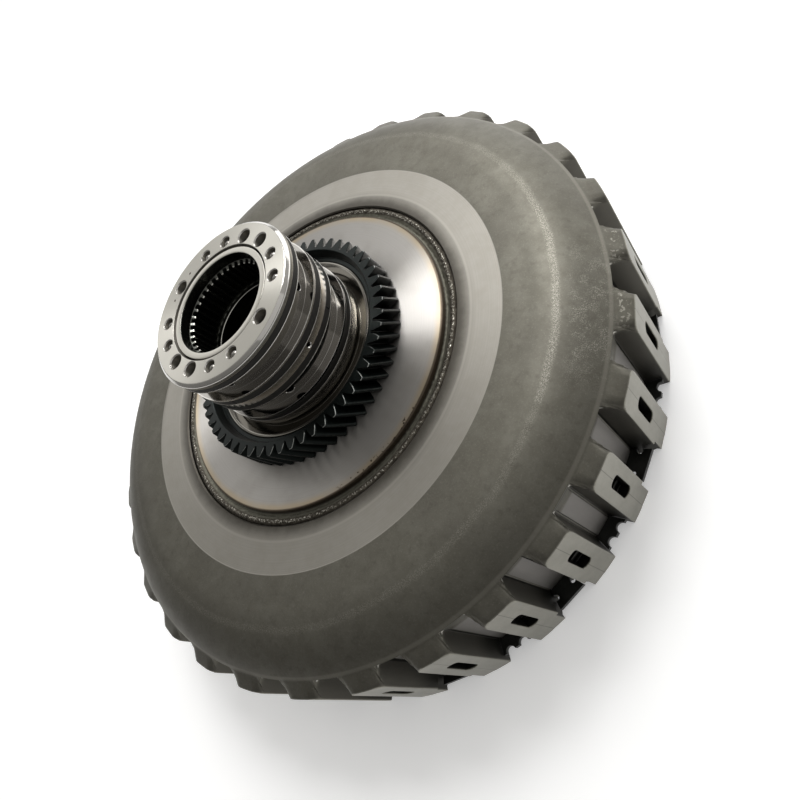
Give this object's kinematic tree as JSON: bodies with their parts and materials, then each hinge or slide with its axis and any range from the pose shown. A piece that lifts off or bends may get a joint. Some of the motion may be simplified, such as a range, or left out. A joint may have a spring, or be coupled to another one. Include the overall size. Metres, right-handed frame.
{
  "type": "wet dual clutch module",
  "caption": "Wet dual-clutch module: lugged steel drum with a grooved oil hub, a helical pump gear, nested plate packs, pistons and splined outputs.",
  "frame": {"origin": "on the rotation axis, in the plane of the outer drum's open rim", "axes": "+Z along the rotation axis from the open rim to the oil hub; a notched channel of the drum lies on +X"},
  "size_m": [0.252, 0.2524, 0.1042],
  "materials": {
    "formed_steel": "satin deep-drawn steel with a thin oxide",
    "ground_steel": "ground bright steel",
    "weld": "rough weld scale",
    "blackened_steel": "semi-gloss phosphated black",
    "seal_polymer": "matte dark polymer",
    "seal_rubber": "matte black rubber",
    "bearing_steel": "polished bearing steel",
    "bronze": "satin bronze",
    "dark_plate": "dark oiled steel plate",
    "spring_steel": "dark spring steel",
    "pressed_steel": "pressed steel",
    "plate_steel": "tumbled flat steel",
    "friction_lining": "matte brown paper lining"
  },
  "bodies": {
    "housing": {"outer_drum": "formed_steel", "main_hub": "ground_steel", "hub_flange": "ground_steel", "weld_bead": "weld", "pump_drive_gear": "blackened_steel", "seal_ring_1": "seal_polymer", "seal_ring_2": "seal_polymer", "seal_ring_3": "seal_polymer", "seal_ring_4": "seal_polymer", "gallery_plugs": "bearing_steel", "hub_bush": "bronze", "drive_plate": "dark_plate", "input_hub": "dark_plate", "cover_snap_ring": "spring_steel", "k1_backing_plate": "plate_steel", "k1_snap_ring": "spring_steel", "k1_cylinder_ring": "pressed_steel", "k1_return_spring": "spring_steel", "k2_drum": "pressed_steel", "k2_backing_plate": "plate_steel", "k2_snap_ring": "spring_steel", "k2_balance_piston": "pressed_steel", "balance_snap_ring": "spring_steel", "k2_return_springs": "spring_steel", "front_thrust_bearing": "bearing_steel", "middle_thrust_bearing": "bearing_steel", "rear_thrust_bearing": "bearing_steel"},
    "k1_piston": {"k1_piston": "pressed_steel", "k1_piston_outer_seal": "seal_rubber", "k1_piston_inner_seal": "seal_rubber"},
    "k2_piston": {"k2_piston": "pressed_steel", "k2_piston_outer_seal": "seal_rubber", "k2_piston_inner_seal": "seal_rubber"},
    "k1_output": {"k1_hub": "pressed_steel"},
    "k2_output": {"k2_hub": "pressed_steel", "output_sleeve": "ground_steel"},
    "k1_friction_disc_1": {"k1_friction_disc_1": "friction_lining"},
    "k1_steel_plate_1": {"k1_steel_plate_1": "plate_steel"},
    "k1_friction_disc_2": {"k1_friction_disc_2": "friction_lining"},
    "k1_steel_plate_2": {"k1_steel_plate_2": "plate_steel"},
    "k1_friction_disc_3": {"k1_friction_disc_3": "friction_lining"},
    "k1_steel_plate_3": {"k1_steel_plate_3": "plate_steel"},
    "k1_friction_disc_4": {"k1_friction_disc_4": "friction_lining"},
    "k1_steel_plate_4": {"k1_steel_plate_4": "plate_steel"},
    "k2_friction_disc_1": {"k2_friction_disc_1": "friction_lining"},
    "k2_steel_plate_1": {"k2_steel_plate_1": "plate_steel"},
    "k2_friction_disc_2": {"k2_friction_disc_2": "friction_lining"},
    "k2_steel_plate_2": {"k2_steel_plate_2": "plate_steel"},
    "k2_friction_disc_3": {"k2_friction_disc_3": "friction_lining"},
    "k2_steel_plate_3": {"k2_steel_plate_3": "plate_steel"},
    "k2_friction_disc_4": {"k2_friction_disc_4": "friction_lining"},
    "k2_steel_plate_4": {"k2_steel_plate_4": "plate_steel"}
  },
  "joints": [
    {"name": "k1_output_spin", "type": "hinge", "parent": "housing", "child": "k1_output", "pos_m": [0, 0, 0.02], "axis": [0, 0, 1], "continuous": true},
    {"name": "k2_output_spin", "type": "hinge", "parent": "housing", "child": "k2_output", "pos_m": [0, 0, 0.03], "axis": [0, 0, 1], "continuous": true},
    {"name": "k1_piston_stroke", "type": "slide", "parent": "housing", "child": "k1_piston", "axis": [0, 0, -1], "range_m": [0, 0.0018], "stiffness_N_per_m": 60000, "springref_m": -0.0004, "deforming": ["k1_return_spring"]},
    {"name": "k2_piston_stroke", "type": "slide", "parent": "housing", "child": "k2_piston", "axis": [0, 0, -1], "range_m": [0, 0.0018], "stiffness_N_per_m": 60000, "springref_m": -0.0004, "deforming": ["k2_return_springs"]},
    {"name": "k1_friction_disc_1_slide", "type": "slide", "parent": "k1_output", "child": "k1_friction_disc_1", "axis": [0, 0, -1], "range_m": [0, 0.0002001]},
    {"name": "k1_steel_plate_1_slide", "type": "slide", "parent": "housing", "child": "k1_steel_plate_1", "axis": [0, 0, -1], "range_m": [0, 0.0004001]},
    {"name": "k1_friction_disc_2_slide", "type": "slide", "parent": "k1_output", "child": "k1_friction_disc_2", "axis": [0, 0, -1], "range_m": [0, 0.0006001]},
    {"name": "k1_steel_plate_2_slide", "type": "slide", "parent": "housing", "child": "k1_steel_plate_2", "axis": [0, 0, -1], "range_m": [0, 0.0008001]},
    {"name": "k1_friction_disc_3_slide", "type": "slide", "parent": "k1_output", "child": "k1_friction_disc_3", "axis": [0, 0, -1], "range_m": [0, 0.001]},
    {"name": "k1_steel_plate_3_slide", "type": "slide", "parent": "housing", "child": "k1_steel_plate_3", "axis": [0, 0, -1], "range_m": [0, 0.0012]},
    {"name": "k1_friction_disc_4_slide", "type": "slide", "parent": "k1_output", "child": "k1_friction_disc_4", "axis": [0, 0, -1], "range_m": [0, 0.0014]},
    {"name": "k1_steel_plate_4_slide", "type": "slide", "parent": "housing", "child": "k1_steel_plate_4", "axis": [0, 0, -1], "range_m": [0, 0.0016]},
    {"name": "k2_friction_disc_1_slide", "type": "slide", "parent": "k2_output", "child": "k2_friction_disc_1", "axis": [0, 0, -1], "range_m": [0, 0.0002001]},
    {"name": "k2_steel_plate_1_slide", "type": "slide", "parent": "housing", "child": "k2_steel_plate_1", "axis": [0, 0, -1], "range_m": [0, 0.0004001]},
    {"name": "k2_friction_disc_2_slide", "type": "slide", "parent": "k2_output", "child": "k2_friction_disc_2", "axis": [0, 0, -1], "range_m": [0, 0.0006001]},
    {"name": "k2_steel_plate_2_slide", "type": "slide", "parent": "housing", "child": "k2_steel_plate_2", "axis": [0, 0, -1], "range_m": [0, 0.0008001]},
    {"name": "k2_friction_disc_3_slide", "type": "slide", "parent": "k2_output", "child": "k2_friction_disc_3", "axis": [0, 0, -1], "range_m": [0, 0.001]},
    {"name": "k2_steel_plate_3_slide", "type": "slide", "parent": "housing", "child": "k2_steel_plate_3", "axis": [0, 0, -1], "range_m": [0, 0.0012]},
    {"name": "k2_friction_disc_4_slide", "type": "slide", "parent": "k2_output", "child": "k2_friction_disc_4", "axis": [0, 0, -1], "range_m": [0, 0.0014]},
    {"name": "k2_steel_plate_4_slide", "type": "slide", "parent": "housing", "child": "k2_steel_plate_4", "axis": [0, 0, -1], "range_m": [0, 0.0016]}
  ],
  "couplings": [
    {"joint": "k1_friction_disc_1_slide", "follows": "k1_piston_stroke", "ratio": 0.11111},
    {"joint": "k1_steel_plate_1_slide", "follows": "k1_piston_stroke", "ratio": 0.22222},
    {"joint": "k1_friction_disc_2_slide", "follows": "k1_piston_stroke", "ratio": 0.33333},
    {"joint": "k1_steel_plate_2_slide", "follows": "k1_piston_stroke", "ratio": 0.44444},
    {"joint": "k1_friction_disc_3_slide", "follows": "k1_piston_stroke", "ratio": 0.55556},
    {"joint": "k1_steel_plate_3_slide", "follows": "k1_piston_stroke", "ratio": 0.66667},
    {"joint": "k1_friction_disc_4_slide", "follows": "k1_piston_stroke", "ratio": 0.77778},
    {"joint": "k1_steel_plate_4_slide", "follows": "k1_piston_stroke", "ratio": 0.88889},
    {"joint": "k2_friction_disc_1_slide", "follows": "k2_piston_stroke", "ratio": 0.11111},
    {"joint": "k2_steel_plate_1_slide", "follows": "k2_piston_stroke", "ratio": 0.22222},
    {"joint": "k2_friction_disc_2_slide", "follows": "k2_piston_stroke", "ratio": 0.33333},
    {"joint": "k2_steel_plate_2_slide", "follows": "k2_piston_stroke", "ratio": 0.44444},
    {"joint": "k2_friction_disc_3_slide", "follows": "k2_piston_stroke", "ratio": 0.55556},
    {"joint": "k2_steel_plate_3_slide", "follows": "k2_piston_stroke", "ratio": 0.66667},
    {"joint": "k2_friction_disc_4_slide", "follows": "k2_piston_stroke", "ratio": 0.77778},
    {"joint": "k2_steel_plate_4_slide", "follows": "k2_piston_stroke", "ratio": 0.88889}
  ]
}
